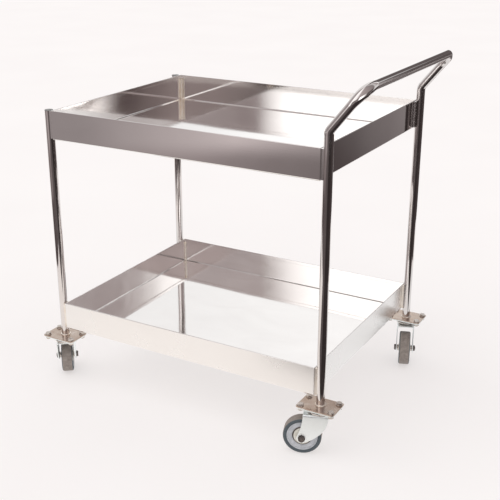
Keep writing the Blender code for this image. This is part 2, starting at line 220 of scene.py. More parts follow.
def mill_steel_painted_shade():
    """The sheet's outside below: dull mill finish, never polished, with its colour darkened as painted shade
    of the space under the top tray.
    """
    finish = Finish("mill_steel_painted_shade", metallic=1.0)
    cloud = finish.noise(12.0, detail=5.0, distortion=0.5)
    grain = finish.noise(900.0, detail=2.0, stretch=(0.02, 1.0, 1.0))
    # Darker than the polished sheet: painted shade of the tray's underside.
    finish.set("Base Color", finish.ramp(cloud, [(0.3, (0.50, 0.47, 0.46)), (0.7, (0.58, 0.55, 0.54))]))
    finish.set("Roughness", finish.between(grain, 0.42, 0.55))
    finish.bump(grain, 0.00002, 0.35)
    return finish.material


def weld_steel():
    """Dressed weld metal: satin, straw-tinted by the heat, ground across its length."""
    finish = Finish("weld_steel", metallic=1.0)
    tint = finish.noise(60.0, detail=4.0)
    scratch = finish.noise(1400.0, detail=2.0, stretch=(1.0, 1.0, 0.06))
    finish.set("Base Color", finish.ramp(tint, [(0.3, (0.86, 0.76, 0.66)), (0.7, (0.92, 0.87, 0.81))]))
    finish.set("Roughness", finish.between(scratch, 0.26, 0.42))
    finish.bump(scratch, 0.00004, 0.5)
    return finish.material


def tube_steel():
    """Buffed stainless tube: sharp long reflections, with fine polishing marks round it."""
    finish = Finish("tube_steel", metallic=1.0)
    marks = finish.noise(2600.0, detail=2.0, stretch=(0.02, 0.02, 1.0))
    wear = finish.noise(14.0, detail=5.0)
    finish.set("Base Color", finish.ramp(wear, [(0.3, (0.69, 0.645, 0.63)), (0.7, (0.77, 0.735, 0.72))]))
    finish.set("Roughness", finish.between(wear, 0.045, 0.10, 0.3, 0.75))
    finish.bump(marks, 0.00001, 0.3)
    return finish.material


def plate_steel():
    """Pressed mounting plate: duller stainless, browned by the heat of the weld."""
    finish = Finish("plate_steel", metallic=1.0)
    scale = finish.noise(38.0, detail=6.0, distortion=0.8)
    fine = finish.noise(420.0, detail=3.0)
    finish.set("Base Color", finish.ramp(scale, [(0.25, (0.42, 0.315, 0.255)), (0.55, (0.54, 0.44, 0.375)),
                                                  (0.85, (0.66, 0.59, 0.54))]))
    finish.set("Roughness", finish.between(scale, 0.12, 0.26, 0.3, 0.7))
    finish.bump(fine, 0.00006, 0.4)
    return finish.material


def zinc_plate(name, dark, light, rough):
    """Zinc plating between the given dark and light colours, lightly clouded, with a fine grain. The darker
    sets carry painted shade: all of the axle steel, and the brown zinc where it sits on the swivel race and
    crown.
    """
    finish = Finish(name, metallic=1.0)
    cloud = finish.noise(55.0, detail=5.0, distortion=0.4)
    grain = finish.noise(900.0, detail=2.0)
    finish.set("Base Color", finish.ramp(cloud, [(0.3, dark), (0.7, light)]))
    finish.set("Roughness", finish.between(cloud, rough, rough + 0.14, 0.3, 0.7))
    finish.bump(grain, 0.00003, 0.5)
    return finish.material


def moulded_plastic(name, dark, light, rough):
    """Injection-moulded plastic with a fine spark-eroded grain and a little handling dirt."""
    finish = Finish(name)
    dirt = finish.noise(70.0, detail=6.0, distortion=0.5)
    grain = finish.noise(1500.0, detail=2.0)
    finish.set("Base Color", finish.ramp(dirt, [(0.32, dark), (0.6, light)]))
    finish.set("Roughness", finish.between(dirt, rough + 0.12, rough, 0.3, 0.7))
    finish.shader.inputs["IOR"].default_value = 1.49
    finish.bump(grain, 0.00004, 0.5)
    return finish.material


def rubber(name, dark, light):
    """Solid grey rubber with settled dust and a fine moulded grain."""
    finish = Finish(name)
    dust = finish.noise(120.0, detail=6.0, distortion=0.6)
    finish.set("Base Color", finish.ramp(dust, [(0.3, dark), (0.75, light)]))
    finish.set("Roughness", finish.between(dust, 0.50, 0.74, 0.3, 0.7))
    finish.shader.inputs["IOR"].default_value = 1.52
    finish.bump(finish.noise(1200.0, detail=3.0), 0.00008, 0.5)
    return finish.material


MATERIALS = {
    "tray_steel": sheet_steel("tray_steel", 0.040, 0.075),
    "satin_steel": sheet_steel("satin_steel", 0.090, 0.135),
    "brushed_steel": sheet_steel("brushed_steel", 0.24, 0.30),
    "mill_steel_painted_shade": mill_steel_painted_shade(),
    "weld_steel": weld_steel(),
    "tube_steel": tube_steel(),
    "plate_steel": plate_steel(),
    # Brownish zinc: the bolts' own plating; on the swivel race and crown the same brown is painted shade under
    # the plates.
    "bolt_zinc": zinc_plate("bolt_zinc", (0.52, 0.465, 0.425), (0.68, 0.635, 0.60), 0.20),
    "fork_zinc": zinc_plate("fork_zinc", (0.83, 0.855, 0.855), (0.91, 0.935, 0.935), 0.36),
    # Near black: painted shade standing in for the shadowed axle bolts and nuts; the washers, bearing balls
    # and kingpin rivet share it.
    "axle_steel": zinc_plate("axle_steel", (0.085, 0.072, 0.068), (0.20, 0.175, 0.165), 0.20),
    "wheel_plastic": moulded_plastic("wheel_plastic", (0.43, 0.445, 0.475), (0.56, 0.575, 0.61), 0.34),
    # Near black: painted shade at the bottom of the hub groove.
    "groove_painted_shade": moulded_plastic("groove_painted_shade", (0.055, 0.040, 0.033), (0.105, 0.080, 0.068), 0.45),
    "hub_plastic": moulded_plastic("hub_plastic", (0.60, 0.57, 0.50), (0.76, 0.74, 0.68), 0.38),
    "tyre_rubber": rubber("tyre_rubber", (0.046, 0.062, 0.075), (0.095, 0.115, 0.128)),
    "tread_rubber": rubber("tread_rubber", (0.20, 0.168, 0.150), (0.34, 0.295, 0.265)),
    "cap_plastic": moulded_plastic("cap_plastic", (0.13, 0.127, 0.125), (0.20, 0.195, 0.19), 0.36),
}


# ---------------------------------------------------------------- shapes


def filleted(points, closed=False, steps=4):
    """An outline with its corners rounded. Each point is (x, y) or (x, y, radius)."""
    rounded = []
    for index, point in enumerate(points):
        here = Vector(point[:2])
        radius = point[2] if len(point) > 2 else 0.0
        if radius == 0 or (not closed and index in (0, len(points) - 1)):
            rounded.append(here)
            continue
        back = Vector(points[index - 1][:2]) - here
        ahead = Vector(points[(index + 1) % len(points)][:2]) - here
        half = back.angle(ahead) / 2
        reach = min(radius / math.tan(half), back.length * 0.49, ahead.length * 0.49)
        radius = reach * math.tan(half)
        centre = here + (back.normalized() + ahead.normalized()).normalized() * (radius / math.sin(half))
        start = here + back.normalized() * reach - centre
        end = here + ahead.normalized() * reach - centre
        angle = math.atan2(start.y, start.x)
        turn = math.remainder(math.atan2(end.y, end.x) - angle, math.tau)
        for step in range(steps + 1):
            way = angle + turn * step / steps
            rounded.append(centre + Vector((math.cos(way), math.sin(way))) * radius)
    return rounded


def bridge(bm, first, second):
    """Quads between two rings of the same length, or triangles when one ring is a single point."""
    count = max(len(first), len(second))
    for i in range(count):
        j = (i + 1) % count
        near = [first[i % len(first)], first[j % len(first)]]
        corners = [*near, second[j % len(second)], second[i % len(second)]]
        bm.faces.new(list(dict.fromkeys(corners)))


def stacked(loops, closed=False):
    """A solid from loops of points: each is joined to the next, and the ends are capped or joined."""
    bm = bmesh.new()
    rings = [[bm.verts.new(point) for point in loop] for loop in loops]
    for first, second in zip(rings, rings[1:]):
        bridge(bm, first, second)
    if closed:
        bridge(bm, rings[-1], rings[0])
    else:
        for ring in (rings[0], rings[-1]):
            if len(ring) > 2:
                bm.faces.new(ring)
    return bm


def turned(profile, sides=TURNED_SIDES, closed=False):
    """A solid turned about Z from (radius, height) points. A closed profile is a ring clear of the axis."""
    loops = []
    for radius, z in profile:
        if radius < 1e-7:
            loops.append([(0, 0, z)])
            continue
        angles = [math.tau * i / sides for i in range(sides)]
        loops.append([(radius * math.cos(a), radius * math.sin(a), z) for a in angles])
    return stacked(loops, closed)


def mirrored(half):
    """Close a profile that runs outwards along one face of a wheel with its mirror image."""
    return half + [(point[0], -point[1], *point[2:]) for point in reversed(half)]


def rounded_rectangle(length, width, radius, z, steps=5):
    loop = []
    for quarter, (sx, sy) in enumerate([(1, 1), (-1, 1), (-1, -1), (1, -1)]):
        centre = Vector((sx * (length / 2 - radius), sy * (width / 2 - radius), z))
        for step in range(steps + 1):
            angle = math.radians(90) * (quarter + step / steps)
            loop.append(centre + Vector((math.cos(angle), math.sin(angle), 0)) * radius)
    return loop


def swept(path, radii, sides, wall):
    """A tube with that wall along (point, direction, side) places, with its two radii at each."""
    shells = []
    for inset in (0.0, wall):
        loops = []
        for (point, direction, side), (wide, tall) in zip(path, radii):
            up = direction.cross(side)
            loops.append([
                point + side * math.cos(a) * (wide - inset) + up * math.sin(a) * (tall - inset)
                for a in (math.tau * i / sides for i in range(sides))
            ])
        shells.append(loops)
    return stacked(shells[0] + shells[1][::-1], closed=True)


def ring_bead(radius, thickness, ripples, z):
    """A weld run round a tube: a torus with one low ripple for each dab of the torch."""
    count = ripples * 6
    bm = bmesh.new()
    rings = []
    for i in range(count):
        angle = math.tau * i / count
        swell = 1 + 0.10 * abs(math.sin(angle * ripples / 2))
        out = Vector((math.cos(angle), math.sin(angle), 0))
        ring = []
        for k in range(10):
            way = math.tau * k / 10
            place = out * (radius + thickness * swell * math.cos(way))
            ring.append(bm.verts.new(place + Vector((0, 0, z + thickness * swell * math.sin(way)))))
        rings.append(ring)
    for first, second in zip(rings, rings[1:] + rings[:1]):
        bridge(bm, first, second)
    return bm


def hexagon(flats, bottom, top, crown_top=True, crown_bottom=False, bore=0.0):
    """A bolt head or nut: a hexagonal prism whose corners are turned down to a cone at 30 degrees."""
    sides = 60
    crown = flats / 2 * 0.96
    angles = [math.tau * i / sides for i in range(sides)]
    reach = [flats / 2 / math.cos(math.remainder(a, math.radians(60))) for a in angles]
    fall = [max(0.0, r - crown) * math.tan(math.radians(30)) for r in reach]

    def ring(radii, heights):
        return [(r * math.cos(a), r * math.sin(a), z) for a, r, z in zip(angles, radii, heights)]

    def level(radius, z):
        return ring([radius] * sides, [z] * sides)

    loops = [level(crown, bottom)]
    loops.append(ring(reach, [bottom + (drop if crown_bottom else 0.00005) for drop in fall]))
    loops.append(ring(reach, [top - (drop if crown_top else 0.00005) for drop in fall]))
    loops.append(level(crown, top))
    if bore:
        return stacked([level(bore, bottom), *loops, level(bore, top)], closed=True)
    return stacked(loops)


def threaded(radius, bottom, top, pitch=0.00125):
    """The end of a threaded shank, its thread cut as rings and its tip chamfered."""
    profile = [(0, bottom), (radius * 0.78, bottom), (radius * 0.9, bottom + pitch * 0.6)]
    turns = max(1, int((top - bottom - pitch) / pitch))
    for turn in range(turns):
        z = bottom + pitch * (0.8 + turn)
        profile += [(radius, z + pitch * 0.2), (radius * 0.87, z + pitch * 0.7)]
    profile += [(radius, top), (0, top)]
    return turned(profile, sides=32)


def piece(name, bm, finish, body, replaces=(), place=None, bevel=0.0, crease=32):
    """Make one piece of the cart from a bmesh, with its finish, and fasten it to its body.

    Its mesh is moved to its place, so the object sits at the origin as a CAD node does.
    """
    if place:
        bm.transform(place)
    bmesh.ops.recalc_face_normals(bm, faces=bm.faces)
    mesh = bpy.data.meshes.new(name)
    bm.to_mesh(mesh)
    bm.free()
    mesh.shade_smooth()
    mesh.set_sharp_from_angle(angle=math.radians(crease))
    mesh.materials.append(MATERIALS[finish])
    obj = bpy.data.objects.new(name, mesh)
    bpy.context.scene.collection.objects.link(obj)
    if bevel:
        edge = obj.modifiers.new("edge", "BEVEL")
        edge.width = bevel
        edge.segments = 2
        edge.limit_method = "ANGLE"
        edge.angle_limit = math.radians(50)
        edge.harden_normals = False
    normals = obj.modifiers.new("normals", "WEIGHTED_NORMAL")
    normals.keep_sharp = True
    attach(obj, body)
    if replaces:
        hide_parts(*replaces)
    return obj


# ---------------------------------------------------------------- trays


def build_tray(node):
    """A folded sheet tray: bent floor edge, upright walls, and a hem turned in along the rim."""
    low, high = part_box(node)
    size = high - low
    fold = [
        (0.030, low.z),
        (0, low.z, FOLD_RADIUS + SHEET),
        (0, high.z, HEM_THICKNESS / 2.2),
        (HEM_THICKNESS, high.z, HEM_THICKNESS / 2.2),
        (HEM_THICKNESS, high.z - HEM_HEIGHT, 0.0006),
        (SHEET, high.z - HEM_HEIGHT),
        (SHEET, low.z + SHEET, FOLD_RADIUS),
        (0.030, low.z + SHEET),
    ]
    loops = []
    for inset, z in filleted(fold, steps=6):
        corner = max(TRAY_CORNER_RADIUS - inset, 0.0006)
        loops.append(rounded_rectangle(size.x - 2 * inset, size.y - 2 * inset, corner, z))
    sheet = piece(f"{node}_sheet", stacked(loops), "tray_steel", "frame", replaces=[node],
                  crease=40)
    for finish in ("mill_steel_painted_shade", "satin_steel", "brushed_steel"):
        sheet.data.materials.append(MATERIALS[finish])
    for face in sheet.data.polygons:
        # The top tray's underside takes the mill finish, whose darker colour is painted shade under the tray.
        if node == "top_tray":
            if face.normal.z < -0.95 and face.center.z < low.z + SHEET / 2:
                face.material_index = 1
        elif abs(face.normal.z) < 0.05 and face.center.z > low.z + FOLD_RADIUS:
            outer = face.normal.x * face.center.x + face.normal.y * face.center.y > 0
            face.material_index = 3 if outer else 2
    build_corner_welds(node, low, high)


def build_corner_welds(node, low, high):
    """The upright corner seams: a hollow of weld, and a thin dressed band of it on either wall."""
    bottom = low.z + SHEET
    top = high.z - HEM_HEIGHT
    band = WELD_BAND[node]
    bm = bmesh.new()
    for sx, sy in CORNERS.values():
        corner = Vector((sx * (high.x - SHEET), sy * (high.y - SHEET), 0))
        section = [(-0.0004, -0.0004), (band, -0.0004)]
        section += [(band - 0.0008, WELD_PROUD), (CORNER_WELD, WELD_PROUD)]
        reach = CORNER_WELD - WELD_PROUD
        for step in range(1, 8):
            angle = math.radians(270 - 90 * step / 8)
            section.append((CORNER_WELD + reach * math.cos(angle), CORNER_WELD + reach * math.sin(angle)))
        section += [(WELD_PROUD, CORNER_WELD), (WELD_PROUD, band - 0.0008), (-0.0004, band)]
        rings = []
        for z in (bottom, top):
            rings.append([bm.verts.new(corner + Vector((-sx * x, -sy * y, z))) for x, y in section])
        bridge(bm, *rings)
        for ring in rings:
            bm.faces.new(ring)
    piece(f"{node}_corner_welds", bm, "weld_steel", "frame")


def leg_axis(corner):
    """Centre, radius, bottom and top of a leg, from its CAD box."""
    low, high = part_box(f"leg_{corner}")
    radius = (high.y - low.y) / 2
    return (low.x + high.x) / 2, (low.y + high.y) / 2, radius, low.z, high.z


def handle_corners():
    """The handle's centre line as its corners: leg top, bar end, bar end, leg top."""
    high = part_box("push_handle")[1]
    x, front, radius, _, _ = leg_axis("front_right")
    back = leg_axis("back_right")[1]
    bar_x = high.x - radius
    bar_z = high.z - radius
    # The mitre's highest point is on its -X side, one radius above the kink times the mitre's slope.
    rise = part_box("leg_front_right")[1].z
    kink_z = rise
    for _ in range(20):
        arm = Vector((bar_x - x, 0, bar_z - kink_z)).normalized()
        kink_z = rise - radius * arm.x / (1 + arm.z)
    return [Vector((x, front, kink_z)), Vector((bar_x, front, bar_z)),
            Vector((bar_x, back, bar_z)), Vector((x, back, kink_z))]


def bend_places(corner, way_in, way_out, radius, steps):
    """Places along a round bend that leaves one straight and joins another."""
    turn = way_in.angle(way_out)
    reach = radius * math.tan(turn / 2)
    normal = way_in.cross(way_out).normalized()
    inward = normal.cross(way_in)
    centre = corner - way_in * reach + inward * radius
    places = []
    for step in range(steps + 1):
        angle = turn * step / steps
        direction = way_in * math.cos(angle) + inward * math.sin(angle)
        places.append((centre + direction.cross(normal) * radius, direction, normal))
    return places


def flattened(radius, steps):
    """The two radii through a bend: a cold-bent tube widens across the bend's plane towards the middle."""
    swell = [math.sin(math.pi * step / steps) ** 2 for step in range(steps + 1)]
    return [(radius * (1 + BEND_WIDENING * s), radius * (1 - BEND_THINNING * s)) for s in swell]


def tube_piece(name, places, radius, replaces=(), radii=None):
    bm = swept(places, radii or [(radius, radius)] * len(places), TUBE_SIDES, wall=TUBE_WALL)
    return piece(name, bm, "tube_steel", "frame", replaces=replaces, crease=50)


def build_tubes():
    """Four legs, two elbows, and the push handle, with hairline dressed seams between them."""
    corners = handle_corners()
    up = Vector((0, 0, 1))
    arm = (corners[1] - corners[0]).normalized()
    bar = Vector((0, 1, 0))
    down_arm = (corners[3] - corners[2]).normalized()
    reach = ELBOW_RADIUS * math.tan(up.angle(arm) / 2)
    for corner in CORNERS:
        x, y, radius, bottom, top = leg_axis(corner)
        if corner.endswith("right"):
            top = corners[0].z - reach - SEAM
        places = [(Vector((x, y, z)), up, bar) for z in (bottom, top)]
        tube_piece(f"leg_tube_{corner}", places, radius, [f"leg_{corner}"])
        build_leg_welds(corner, x, y, radius, bottom)
    radius = leg_axis("front_right")[2]
    for corner, point in (("front_right", corners[0]), ("back_right", corners[3])):
        tube_piece(f"elbow_{corner}", bend_places(point, up, arm, ELBOW_RADIUS, 10), radius)
    start = (corners[0] + arm * (reach + SEAM), arm)
    end = (corners[3] - down_arm * (reach + SEAM), down_arm)
    first = bend_places(corners[1], arm, bar, HANDLE_BEND_RADIUS, HANDLE_BEND_STEPS)
    second = bend_places(corners[2], bar, down_arm, HANDLE_BEND_RADIUS, HANDLE_BEND_STEPS)
    places = [(*start, first[0][2]), *first, *second, (*end, second[0][2])]
    bend = flattened(radius, HANDLE_BEND_STEPS)
    tube_piece("handle_tube", places, radius, ["push_handle"], [bend[0], *bend, *bend, bend[-1]])


def build_leg_welds(corner, x, y, radius, bottom):
    """The weld round a leg's foot, and the runs that hold the leg to the end walls of both trays."""
    foot = ring_bead(radius + 0.0009, 0.0019, 22, bottom + 0.0002)
    place = Matrix.Translation((x, y, 0))
    piece(f"foot_weld_{corner}", foot, "weld_steel", "frame", place=place, crease=60)
    for tray in TRAYS:
        low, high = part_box(tray)
        wall = Vector((math.copysign(high.x, x), math.copysign(high.y, y)))
        out_x, out_y = math.copysign(1, x), math.copysign(1, y)
        grip = radius - 0.0004
        near = math.radians(38)
        section = [
            (wall.x - out_x * 0.0006, wall.y - out_y * 0.0004),
            (wall.x + out_x * 0.0028, wall.y - out_y * 0.0012),
            (x - out_x * grip * math.sin(near), y + out_y * grip * math.cos(near)),
            (x - out_x * grip, y),
            (x - out_x * grip * math.sin(near), y - out_y * grip * math.cos(near)),
            (wall.x + out_x * 0.0028, y - out_y * 0.0076),
            (wall.x - out_x * 0.0006, y - out_y * 0.0090),
        ]
        bm = bmesh.new()
        rings = [[bm.verts.new((u, v, z)) for u, v in section] for z in (low.z + 0.003, high.z - 0.0015)]
        bridge(bm, *rings)
        for ring in rings:
            bm.faces.new(ring)
        finish = LEG_WELD_FINISH[tray]
        piece(f"{tray}_leg_weld_{corner}", bm, finish, "frame", bevel=0.0006, crease=60)


def build_leg_caps():
    """Low domed plugs in the open tops of the two left legs."""
    for corner in ("front_left", "back_left"):
        node = f"leg_cap_{corner}"
        low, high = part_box(node)
        x, y, radius, _, leg_top = leg_axis(corner)
        plug = radius - TUBE_WALL - 0.0002
        profile = [
            (0, low.z),
            (plug, low.z, 0.0006),
            (plug, leg_top + 0.0001),
            (radius, leg_top + 0.0001, 0.0003),
            (radius * 0.98, high.z - 0.0003, 0.0008),
            (0, high.z),
        ]
        place = Matrix.Translation((x, y, 0))
        piece(f"{node}_plug", turned(filleted(profile), TUBE_SIDES), "cap_plastic", "frame",
              replaces=[node], place=place)


# ---------------------------------------------------------------- plates and bolts


def slab(length, width, corner, bottom, top, edge=PLATE_EDGE):
    """A flat plate with round corners and eased edges."""
    inset_height = [(edge, bottom), (edge * 0.3, bottom + edge * 0.3), (0, bottom + edge),
                    (0, top - edge), (edge * 0.3, top - edge * 0.3), (edge, top)]
    return stacked([
        rounded_rectangle(length - 2 * inset, width - 2 * inset, corner - inset, z)
        for inset, z in inset_height
    ])


def build_plates(corner, centre):
    """The foot plate welded to the leg, the caster's plate under it, and the bearing race below that."""
    place = Matrix.Translation((centre.x, centre.y, 0))
    foot_low, foot_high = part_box(f"foot_plate_{corner}")
    low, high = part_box(f"caster_plate_{corner}")
    size = foot_high - foot_low
    foot = slab(size.x, size.y, 0.0055, foot_low.z, foot_high.z)
    piece(f"leg_foot_{corner}", foot, "plate_steel", "frame", [f"foot_plate_{corner}"], place)
    plate_bottom = high.z - PLATE_THICKNESS
    top_plate = slab(size.x - 0.001, size.y - 0.001, 0.0080, plate_bottom, high.z)
    piece(f"caster_top_{corner}", top_plate, "fork_zinc", "frame",
          [f"caster_plate_{corner}"], place)
    race = [
        (0.0068, low.z),
        (RACE_RADIUS - 0.0045, low.z),
        (RACE_RADIUS - 0.0040, low.z + 0.0012, 0.0008),
        (RACE_RADIUS, low.z + 0.0010, 0.0005),
        (RACE_RADIUS, plate_bottom - 0.0010, 0.0015),
        (RACE_RADIUS + 0.0022, plate_bottom + 0.0002),
        (0.0068, plate_bottom + 0.0002),
    ]
    # The race's brown zinc is painted shade under the caster plate.
    piece(f"swivel_race_{corner}", turned(filleted(race, steps=3), closed=True), "bolt_zinc", "frame",
          place=place)
    build_race_balls(corner, place, low.z)


def build_race_balls(corner, place, race_z):
    """The ring of bearing balls between the race and the fork's crown."""
    bm = bmesh.new()
    count = 30
    for i in range(count):
        angle = math.tau * i / count
        spot = Matrix.Translation(((RACE_RADIUS - 0.0023) * math.cos(angle),
                                   (RACE_RADIUS - 0.0023) * math.sin(angle), race_z + 0.0010))
        bmesh.ops.create_icosphere(bm, subdivisions=2, radius=0.0010, matrix=spot)
    piece(f"swivel_balls_{corner}", bm, "axle_steel", "frame", place=place, crease=80)


def build_plate_bolts(corner):
    """Hexagon bolts down through both plates, each with two washers and a nut."""
    plate_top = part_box(f"foot_plate_{corner}")[1].z
    plate_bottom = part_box(f"caster_plate_{corner}")[1].z - PLATE_THICKNESS
    for number in range(1, 5):
        node = f"plate_bolt_{corner}_{number}"
        low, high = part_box(node)
        middle = (low + high) / 2
        turn = Matrix.Rotation(math.radians(17 + 41 * number), 4, "Z")
        place = Matrix.Translation((middle.x, middle.y, 0)) @ turn
        head_bottom = plate_top + WASHER_THICKNESS
        nut_top = plate_bottom - WASHER_THICKNESS
        nut_bottom = nut_top - 0.0048
        bolt = hexagon(BOLT_FLATS, head_bottom, high.z)
        add_solid(bolt, threaded(BOLT_RADIUS, low.z, nut_bottom + 0.0005))
        add_solid(bolt, turned([(0, nut_top - 0.001), (BOLT_RADIUS, nut_top - 0.001),
                                (BOLT_RADIUS, head_bottom + 0.0005), (0, head_bottom + 0.0005)], 32))
        piece(f"hex_bolt_{corner}_{number}", bolt, "bolt_zinc", "frame", [node], place)
        nut = hexagon(BOLT_FLATS, nut_bottom, nut_top, crown_bottom=True, bore=BOLT_RADIUS)
        piece(f"bolt_nut_{corner}_{number}", nut, "bolt_zinc", "frame", place=place)
        washers = washer(BOLT_RADIUS, WASHER_RADIUS, plate_top, head_bottom)
        add_solid(washers, washer(BOLT_RADIUS, WASHER_RADIUS, nut_top, plate_bottom))
        piece(f"bolt_washers_{corner}_{number}", washers, "bolt_zinc", "frame", place=place)


def add_solid(bm, other):
    """Put another bmesh's solid into this one, as a body of its own."""
    mesh = bpy.data.meshes.new("solid")
    other.to_mesh(mesh)
    other.free()
    bm.from_mesh(mesh)
    bpy.data.meshes.remove(mesh)


def washer(bore, radius, bottom, top, sides=48):
    edge = (top - bottom) * 0.3
    profile = [(bore, bottom), (radius, bottom, edge), (radius, top, edge), (bore, top)]
    return turned(filleted(profile, closed=True, steps=3), sides, closed=True)


# ---------------------------------------------------------------- casters


def chaikin(points, rounds=3):
    """Smooth a line of points by cutting its corners, with its ends kept."""
    points = [Vector(p) for p in points]
    for _ in range(rounds):
        cut = [points[0]]
        for a, b in zip(points, points[1:]):
            cut += [a * 0.75 + b * 0.25, a * 0.25 + b * 0.75]
        points = [*cut, points[-1]]
    return points


def fork_strip(trail, hub_z, bridge_z, half_width):
    """The fork as one bent strip in the caster's own frame: up a cheek, over the bridge and down."""
    eye = FORK_EYE_RADIUS
    lead_line = chaikin([(-0.024, bridge_z), (-0.0235, 0.100), (-0.0175, 0.080), (-0.0075, 0.065),
                         (0.0055, 0.053), (0.019, 0.0430), (trail - 0.42 * eye, hub_z - 0.907 * eye)])
    trail_line = chaikin([(0.038, bridge_z), (0.0400, 0.090), (0.0440, 0.072),
                          (trail + 0.966 * eye, hub_z + 0.26 * eye)])
    lead_x, lead_z = np.array(lead_line).T[:, ::-1]
    trail_x, trail_z = np.array(trail_line).T[:, ::-1]

    def edges(z):
        """Where a cheek starts and ends along X at a height, down to the bottom of its round eye."""
        arc = math.sqrt(max(FORK_EYE_RADIUS ** 2 - (z - hub_z) ** 2, 1e-9))
        first = float(np.interp(z, lead_z, lead_x)) if z > lead_z[0] else trail - arc
        last = float(np.interp(z, trail_z, trail_x)) if z > trail_z[0] else trail + arc
        return first, last

    bottom = hub_z - FORK_EYE_RADIUS
    shoulder_z = bridge_z - FORK_SHOULDER
    cheek = [bottom + (shoulder_z - bottom) * (1 - math.cos(math.radians(90) * i / 40)) for i in range(1, 41)]
    cheek[0] = bottom + 0.00004
    path = [(-half_width, z, Vector((1, 0)), edges(z)) for z in cheek]
    flat = edges(shoulder_z)
    for step in range(1, 7):
        angle = math.radians(180 - 90 * step / 6)
        out = Vector((math.cos(angle), math.sin(angle)))
        spot = Vector((-half_width + FORK_SHOULDER, shoulder_z)) + out * FORK_SHOULDER
        path.append((spot.x, spot.y, -out, flat))
    path += [(-y, z, Vector((-inward.x, inward.y)), ends) for y, z, inward, ends in reversed(path)]
    loops = []
    for y, z, inward, (first, last) in path:
        inner_y = y + inward.x * FORK_SHEET
        inner_z = z + inward.y * FORK_SHEET
        loops.append([(first, y, z), (last, y, z), (last, inner_y, inner_z), (first, inner_y, inner_z)])
    return stacked(loops)


def build_fork(corner, place, trail, hub_z):
    """The pressed fork, its swivel crown with the lower race, and the riveted kingpin."""
    body = f"caster_{corner}"
    race_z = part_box(f"caster_plate_{corner}")[0].z
    pin_low, pin_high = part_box(f"kingpin_{corner}")
    bridge_z = pin_low.z + 0.003 + SEAM + 0.003
    half_width = 0.0245
    fork = fork_strip(trail, hub_z, bridge_z, half_width)
    piece(f"fork_yoke_{corner}", fork, "fork_zinc", body, [f"fork_{corner}"], place,
          bevel=0.0005, crease=35)
    top = race_z - SEAM
    crown = [
        (0.0068, bridge_z - 0.0004),
        (0.0225, bridge_z - 0.0004, 0.002),
        (0.0240, bridge_z + 0.0016, 0.0015),
        (CROWN_RADIUS, bridge_z + 0.0022, 0.0012),
        (CROWN_RADIUS, top - 0.0002, 0.0008),
        (CROWN_RADIUS - 0.0012, top, 0.0004),
        (CROWN_RADIUS - 0.0020, top - 0.0012, 0.0006),
        (0.0068, top - 0.0012),
    ]
    # The crown's brown zinc is painted shade under the caster plate.
    piece(f"swivel_crown_{corner}", turned(filleted(crown, closed=True, steps=3), closed=True), "bolt_zinc",
          body, place=place)
    pin = [
        (0, pin_low.z),
        (0.0072, pin_low.z, 0.002),
        (0.0100, pin_low.z + 0.0018, 0.0008),
        (0.0100, pin_low.z + 0.0030),
        (0.0060, pin_low.z + 0.0030),
        (0.0060, pin_high.z, 0.0004),
        (0, pin_high.z),
    ]
    piece(f"kingpin_rivet_{corner}", turned(filleted(pin), 48), "axle_steel", "frame",
          [f"kingpin_{corner}"], Matrix.Translation(place.translation))


TREAD_RADIUS = 0.0464


def build_wheel(corner, hub):
    """The moulded disc, cream hub bosses, steel bearing sleeve and tyre, turned about the axle."""
    body = f"wheel_{corner}"
    disc = [
        (0.0246, 0.0070),
        (0.0246, 0.0112, 0.0005),
        (0.0262, 0.0112, 0.0005),
        (0.0275, 0.0124, 0.0007),
        (0.0300, 0.0114, 0.0010),
        (0.0348, 0.0112, 0.0010),
        (0.0360, 0.0138, 0.0006),
        (0.0380, 0.0138, 0.0004),
    ]
    piece(f"wheel_disc_{corner}", turned(filleted(mirrored(disc), closed=True, steps=3), closed=True),
          "wheel_plastic", body, [f"wheel_core_{corner}"], hub)
    boss = [
        (0.0084, 0.0168, 0.0003),
        (0.0105, 0.0168, 0.0008),
        (0.0125, 0.0156, 0.0012),
        (0.0190, 0.0150, 0.0010),
        (0.0210, 0.0138, 0.0012),
        (0.0212, 0.0085),
    ]
    piece(f"hub_boss_{corner}", turned(filleted(mirrored(boss), closed=True, steps=3), closed=True),
          "hub_plastic", body, place=hub)
    # A near-black ring at the bottom of the groove between boss and disc: painted shade in the recess.
    groove_shade_ring = [(0.0211, 0.0104), (0.0247, 0.0104)]
    piece(f"hub_groove_painted_shade_{corner}", turned(mirrored(groove_shade_ring), closed=True), "groove_painted_shade", body,
          place=hub)
    sleeve = [(0.0051, 0.0217, 0.0003), (0.0083, 0.0217, 0.0005)]
    piece(f"bearing_sleeve_{corner}", turned(filleted(mirrored(sleeve), closed=True, steps=3), closed=True),
          "bolt_zinc", body, place=hub)
    tyre = piece(f"tyre_ring_{corner}", tyre_ring(), "tyre_rubber", body,
                 [f"tyre_{corner}"], hub, crease=50)
    tyre.data.materials.append(MATERIALS["tread_rubber"])
    for face in tyre.data.polygons:
        reach = (hub.inverted() @ face.center).xy.length
        face.material_index = 1 if reach > TREAD_RADIUS else 0


def tyre_ring():
    """The solid tyre: a lip against the rim, bulged sides, round shoulders and shallow moulded grooves."""
    half = [
        (0.0381, 0.0143, 0.0004),
        (0.0392, 0.0147, 0.0004),
        (0.0398, 0.0142, 0.0005),
        (0.0425, 0.0154, 0.0030),
        (0.0452, 0.0149, 0.0020),
        (0.0474, 0.0124, 0.0030),
    ]
    for groove in (0.0092, 0.0046):
        half += [
            (0.0475, groove + 0.0006, 0.0002),
            (0.0471, groove + 0.0003, 0.0002),
            (0.0471, groove - 0.0003, 0.0002),
            (0.0475, groove - 0.0006, 0.0002),
        ]
    half.append((0.0475, 0.0005))
    return turned(filleted(mirrored(half), closed=True, steps=3), 128, closed=True)


